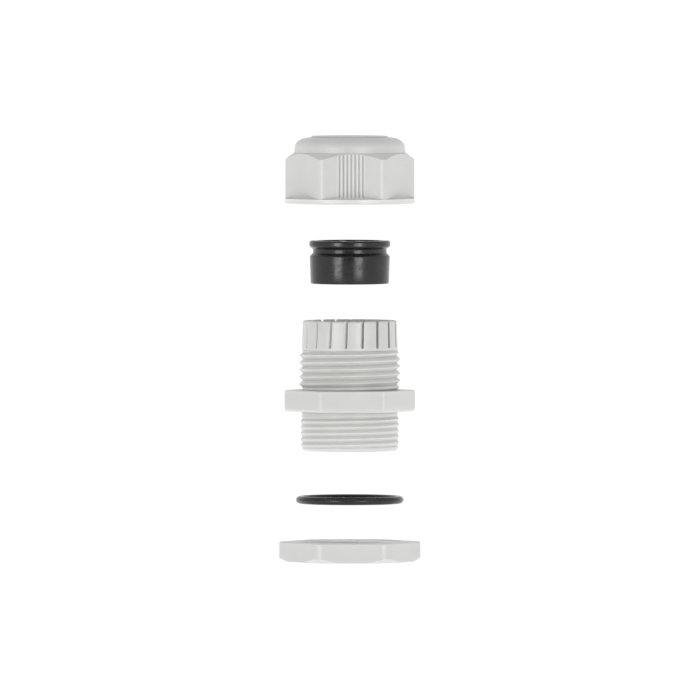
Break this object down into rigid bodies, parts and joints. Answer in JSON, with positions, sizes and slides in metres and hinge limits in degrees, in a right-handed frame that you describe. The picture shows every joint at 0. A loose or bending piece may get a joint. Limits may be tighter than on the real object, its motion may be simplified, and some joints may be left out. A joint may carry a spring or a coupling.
{
  "type": "cable gland",
  "caption": "Plastic cable gland laid out along its axis: domed cap nut, rubber seal insert, hexagonal body with clamping claws, O-ring and lock nut.",
  "frame": {"origin": "on the gland's axis, in the plane of the flange's underside, which seats on the panel", "axes": "+Z along the gland's axis towards the dome nut; the front flat of the hexagons faces -Y, turned 2.7 degrees towards +X"},
  "size_m": [0.0358, 0.033, 0.1073],
  "materials": {
    "light_grey_plastic": "fine satin, as moulded",
    "black_rubber": "satin"
  },
  "bodies": {
    "gland_body": {"gland_body": "light_grey_plastic"},
    "dome_nut": {"dome_nut": "light_grey_plastic"},
    "seal_insert": {"seal_insert": "black_rubber"},
    "o_ring": {"o_ring": "black_rubber"},
    "lock_nut": {"lock_nut": "light_grey_plastic"},
    "claw_01": {"claw_01": "light_grey_plastic"},
    "claw_02": {"claw_02": "light_grey_plastic"},
    "claw_03": {"claw_03": "light_grey_plastic"},
    "claw_04": {"claw_04": "light_grey_plastic"},
    "claw_05": {"claw_05": "light_grey_plastic"},
    "claw_06": {"claw_06": "light_grey_plastic"},
    "claw_07": {"claw_07": "light_grey_plastic"},
    "claw_08": {"claw_08": "light_grey_plastic"},
    "claw_09": {"claw_09": "light_grey_plastic"},
    "claw_10": {"claw_10": "light_grey_plastic"},
    "claw_11": {"claw_11": "light_grey_plastic"},
    "claw_12": {"claw_12": "light_grey_plastic"},
    "claw_13": {"claw_13": "light_grey_plastic"},
    "claw_14": {"claw_14": "light_grey_plastic"},
    "claw_15": {"claw_15": "light_grey_plastic"},
    "claw_16": {"claw_16": "light_grey_plastic"},
    "claw_17": {"claw_17": "light_grey_plastic"},
    "claw_18": {"claw_18": "light_grey_plastic"}
  },
  "joints": [
    {"name": "dome_nut_slide", "type": "slide", "parent": "gland_body", "child": "dome_nut", "axis": [0, 0, -1], "range_m": [0, 0.04275]},
    {"name": "seal_insert_slide", "type": "slide", "parent": "gland_body", "child": "seal_insert", "axis": [0, 0, -1], "range_m": [0, 0.0182]},
    {"name": "o_ring_slide", "type": "slide", "parent": "gland_body", "child": "o_ring", "axis": [0, 0, 1], "range_m": [0, 0.0213], "deforming": ["o_ring"]},
    {"name": "lock_nut_slide", "type": "slide", "parent": "gland_body", "child": "lock_nut", "axis": [0, 0, 1], "range_m": [0, 0.02885]},
    {"name": "claw_01_bend", "type": "hinge", "parent": "gland_body", "child": "claw_01", "pos_m": [0.00146, -0.01141, 0.01595], "axis": [-0.9919, -0.127, 0], "range_deg": [0, 9], "stiffness_Nm_per_rad": 0.0004},
    {"name": "claw_02_bend", "type": "hinge", "parent": "gland_body", "child": "claw_02", "pos_m": [0.00527, -0.01022, 0.01595], "axis": [-0.8886, -0.4586, 0], "range_deg": [0, 9], "stiffness_Nm_per_rad": 0.0004},
    {"name": "claw_03_bend", "type": "hinge", "parent": "gland_body", "child": "claw_03", "pos_m": [0.00845, -0.0078, 0.01595], "axis": [-0.6782, -0.7349, 0], "range_deg": [0, 9], "stiffness_Nm_per_rad": 0.0004},
    {"name": "claw_04_bend", "type": "hinge", "parent": "gland_body", "child": "claw_04", "pos_m": [0.01061, -0.00444, 0.01595], "axis": [-0.3859, -0.9225, 0], "range_deg": [0, 9], "stiffness_Nm_per_rad": 0.0004},
    {"name": "claw_05_bend", "type": "hinge", "parent": "gland_body", "child": "claw_05", "pos_m": [0.01149, -0.00054, 0.01595], "axis": [-0.0472, -0.9989, 0], "range_deg": [0, 9], "stiffness_Nm_per_rad": 0.0004},
    {"name": "claw_06_bend", "type": "hinge", "parent": "gland_body", "child": "claw_06", "pos_m": [0.01098, 0.00342, 0.01595], "axis": [0.2973, -0.9548, 0], "range_deg": [0, 9], "stiffness_Nm_per_rad": 0.0004},
    {"name": "claw_07_bend", "type": "hinge", "parent": "gland_body", "child": "claw_07", "pos_m": [0.00915, 0.00697, 0.01595], "axis": [0.606, -0.7955, 0], "range_deg": [0, 9], "stiffness_Nm_per_rad": 0.0004},
    {"name": "claw_08_bend", "type": "hinge", "parent": "gland_body", "child": "claw_08", "pos_m": [0.00621, 0.00968, 0.01595], "axis": [0.8415, -0.5403, 0], "range_deg": [0, 9], "stiffness_Nm_per_rad": 0.0004},
    {"name": "claw_09_bend", "type": "hinge", "parent": "gland_body", "child": "claw_09", "pos_m": [0.00253, 0.01122, 0.01595], "axis": [0.9755, -0.2199, 0], "range_deg": [0, 9], "stiffness_Nm_per_rad": 0.0004},
    {"name": "claw_10_bend", "type": "hinge", "parent": "gland_body", "child": "claw_10", "pos_m": [-0.00146, 0.01141, 0.01595], "axis": [0.9919, 0.127, 0], "range_deg": [0, 9], "stiffness_Nm_per_rad": 0.0004},
    {"name": "claw_11_bend", "type": "hinge", "parent": "gland_body", "child": "claw_11", "pos_m": [-0.00527, 0.01022, 0.01595], "axis": [0.8886, 0.4586, 0], "range_deg": [0, 9], "stiffness_Nm_per_rad": 0.0004},
    {"name": "claw_12_bend", "type": "hinge", "parent": "gland_body", "child": "claw_12", "pos_m": [-0.00845, 0.0078, 0.01595], "axis": [0.6782, 0.7349, 0], "range_deg": [0, 9], "stiffness_Nm_per_rad": 0.0004},
    {"name": "claw_13_bend", "type": "hinge", "parent": "gland_body", "child": "claw_13", "pos_m": [-0.01061, 0.00444, 0.01595], "axis": [0.3859, 0.9225, 0], "range_deg": [0, 9], "stiffness_Nm_per_rad": 0.0004},
    {"name": "claw_14_bend", "type": "hinge", "parent": "gland_body", "child": "claw_14", "pos_m": [-0.01149, 0.00054, 0.01595], "axis": [0.0472, 0.9989, 0], "range_deg": [0, 9], "stiffness_Nm_per_rad": 0.0004},
    {"name": "claw_15_bend", "type": "hinge", "parent": "gland_body", "child": "claw_15", "pos_m": [-0.01098, -0.00342, 0.01595], "axis": [-0.2973, 0.9548, 0], "range_deg": [0, 9], "stiffness_Nm_per_rad": 0.0004},
    {"name": "claw_16_bend", "type": "hinge", "parent": "gland_body", "child": "claw_16", "pos_m": [-0.00915, -0.00697, 0.01595], "axis": [-0.606, 0.7955, 0], "range_deg": [0, 9], "stiffness_Nm_per_rad": 0.0004},
    {"name": "claw_17_bend", "type": "hinge", "parent": "gland_body", "child": "claw_17", "pos_m": [-0.00621, -0.00968, 0.01595], "axis": [-0.8415, 0.5403, 0], "range_deg": [0, 9], "stiffness_Nm_per_rad": 0.0004},
    {"name": "claw_18_bend", "type": "hinge", "parent": "gland_body", "child": "claw_18", "pos_m": [-0.00253, -0.01122, 0.01595], "axis": [-0.9755, 0.2199, 0], "range_deg": [0, 9], "stiffness_Nm_per_rad": 0.0004}
  ],
  "couplings": [
    {"joint": "seal_insert_slide", "follows": "dome_nut_slide", "ratio": 0.42573},
    {"joint": "claw_02_bend", "follows": "claw_01_bend", "ratio": 1},
    {"joint": "claw_03_bend", "follows": "claw_01_bend", "ratio": 1},
    {"joint": "claw_04_bend", "follows": "claw_01_bend", "ratio": 1},
    {"joint": "claw_05_bend", "follows": "claw_01_bend", "ratio": 1},
    {"joint": "claw_06_bend", "follows": "claw_01_bend", "ratio": 1},
    {"joint": "claw_07_bend", "follows": "claw_01_bend", "ratio": 1},
    {"joint": "claw_08_bend", "follows": "claw_01_bend", "ratio": 1},
    {"joint": "claw_09_bend", "follows": "claw_01_bend", "ratio": 1},
    {"joint": "claw_10_bend", "follows": "claw_01_bend", "ratio": 1},
    {"joint": "claw_11_bend", "follows": "claw_01_bend", "ratio": 1},
    {"joint": "claw_12_bend", "follows": "claw_01_bend", "ratio": 1},
    {"joint": "claw_13_bend", "follows": "claw_01_bend", "ratio": 1},
    {"joint": "claw_14_bend", "follows": "claw_01_bend", "ratio": 1},
    {"joint": "claw_15_bend", "follows": "claw_01_bend", "ratio": 1},
    {"joint": "claw_16_bend", "follows": "claw_01_bend", "ratio": 1},
    {"joint": "claw_17_bend", "follows": "claw_01_bend", "ratio": 1},
    {"joint": "claw_18_bend", "follows": "claw_01_bend", "ratio": 1}
  ]
}
